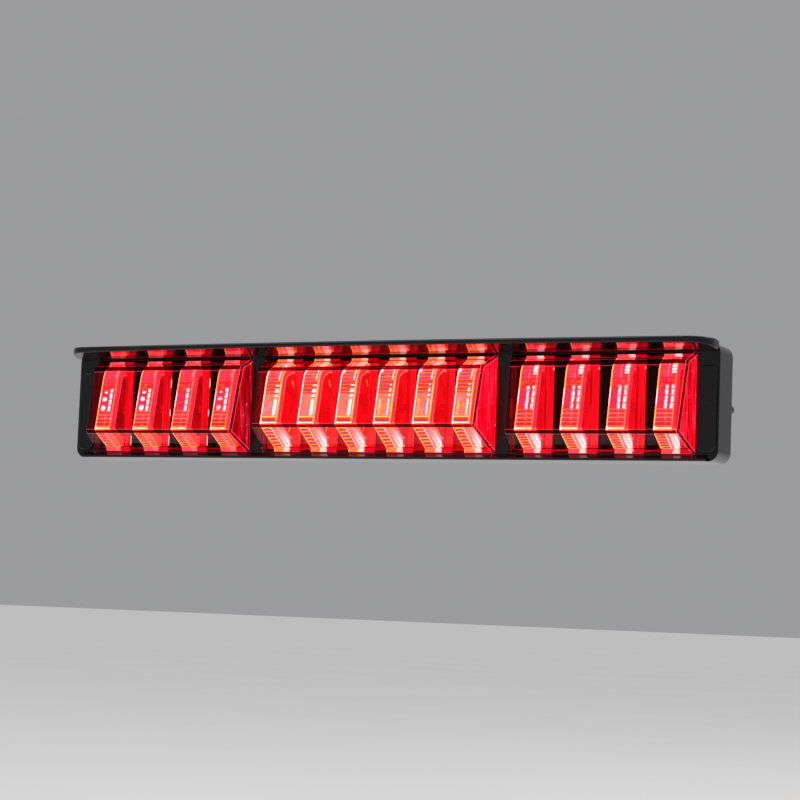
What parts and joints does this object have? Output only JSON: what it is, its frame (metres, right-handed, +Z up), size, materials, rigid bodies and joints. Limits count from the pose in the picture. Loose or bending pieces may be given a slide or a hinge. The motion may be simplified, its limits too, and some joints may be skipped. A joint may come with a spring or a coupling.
{
  "type": "third brake light",
  "caption": "Centre high-mounted stop lamp: a wide gloss-black bezel with a brow over faceted red lens blocks, each lit by a row of fluted light guides.",
  "frame": {"origin": "midway between the two mounting screws, on the plane where the lamp's rear seal and ears seat on the vehicle", "axes": "+X to the right of a viewer who faces the lamp, +Z up, -Y the way the lamp shines, so +Y goes into the vehicle"},
  "size_m": [0.402, 0.065, 0.0647],
  "materials": {
    "housing_black": "fine moulded texture",
    "bezel_gloss_black": "high gloss",
    "lens_red": "polished transparent",
    "guide_clear": "fluted, lit",
    "reflector_red": "metallised, lit red",
    "mask_black": "matt",
    "silicone_grey": "matt",
    "seal_black": "closed-cell foam",
    "board_green": "solder mask",
    "led_white": "moulded resin",
    "component_black": "moulded resin",
    "connector_grey": "fine moulded texture",
    "terminal_tin": "tinned",
    "vent_grey": "matt",
    "screw_zinc": "zinc plated",
    "steel_black": "black zinc plated"
  },
  "bodies": {
    "root": {"bezel_screws": "screw_zinc", "board_screws": "screw_zinc", "centre_board_parts": "component_black", "centre_led_board": "board_green", "centre_leds": "led_white", "centre_lens": "lens_red", "centre_lens_seal": "silicone_grey", "centre_mask": "mask_black", "centre_reflector": "reflector_red", "connector_seal": "seal_black", "connector_socket": "connector_grey", "front_bezel": "bezel_gloss_black", "left_board_bridge": "component_black", "left_board_parts": "component_black", "left_led_board": "board_green", "left_leds": "led_white", "left_lens": "lens_red", "left_lens_seal": "silicone_grey", "left_mask": "mask_black", "left_reflector": "reflector_red", "left_sleeve": "screw_zinc", "light_guide_01": "guide_clear", "light_guide_02": "guide_clear", "light_guide_03": "guide_clear", "light_guide_04": "guide_clear", "light_guide_05": "guide_clear", "light_guide_06": "guide_clear", "light_guide_07": "guide_clear", "light_guide_08": "guide_clear", "light_guide_09": "guide_clear", "light_guide_10": "guide_clear", "light_guide_11": "guide_clear", "light_guide_12": "guide_clear", "light_guide_13": "guide_clear", "light_guide_14": "guide_clear", "rear_housing": "housing_black", "rear_seal": "seal_black", "right_board_bridge": "component_black", "right_board_parts": "component_black", "right_led_board": "board_green", "right_leds": "led_white", "right_lens": "lens_red", "right_lens_seal": "silicone_grey", "right_mask": "mask_black", "right_reflector": "reflector_red", "right_sleeve": "screw_zinc", "terminal_pins": "terminal_tin", "vent_plug": "vent_grey"},
    "left_cap": {"left_end_cap": "bezel_gloss_black"},
    "right_cap": {"right_end_cap": "bezel_gloss_black"},
    "left_washer": {"left_washer": "screw_zinc"},
    "right_washer": {"right_washer": "screw_zinc"},
    "left_screw": {"left_mounting_screw": "steel_black"},
    "right_screw": {"right_mounting_screw": "steel_black"}
  },
  "joints": [
    {"name": "left_cap_pull", "type": "slide", "parent": "root", "child": "left_cap", "axis": [0, -1, 0], "range_m": [0, 0.015]},
    {"name": "left_washer_slide", "type": "slide", "parent": "root", "child": "left_washer", "axis": [0, -1, 0], "range_m": [0, 0.004]},
    {"name": "left_screw_turn", "type": "hinge", "parent": "left_washer", "child": "left_screw", "pos_m": [-0.1946, -0.0135, 0], "axis": [0, -1, 0], "range_deg": [0, 1800]},
    {"name": "right_cap_pull", "type": "slide", "parent": "root", "child": "right_cap", "axis": [0, -1, 0], "range_m": [0, 0.015]},
    {"name": "right_washer_slide", "type": "slide", "parent": "root", "child": "right_washer", "axis": [0, -1, 0], "range_m": [0, 0.004]},
    {"name": "right_screw_turn", "type": "hinge", "parent": "right_washer", "child": "right_screw", "pos_m": [0.1946, -0.0135, 0], "axis": [0, -1, 0], "range_deg": [0, 1800]}
  ],
  "couplings": [
    {"joint": "left_screw_turn", "follows": "left_washer_slide", "rad_per_m": 7854},
    {"joint": "right_screw_turn", "follows": "right_washer_slide", "rad_per_m": 7854}
  ]
}
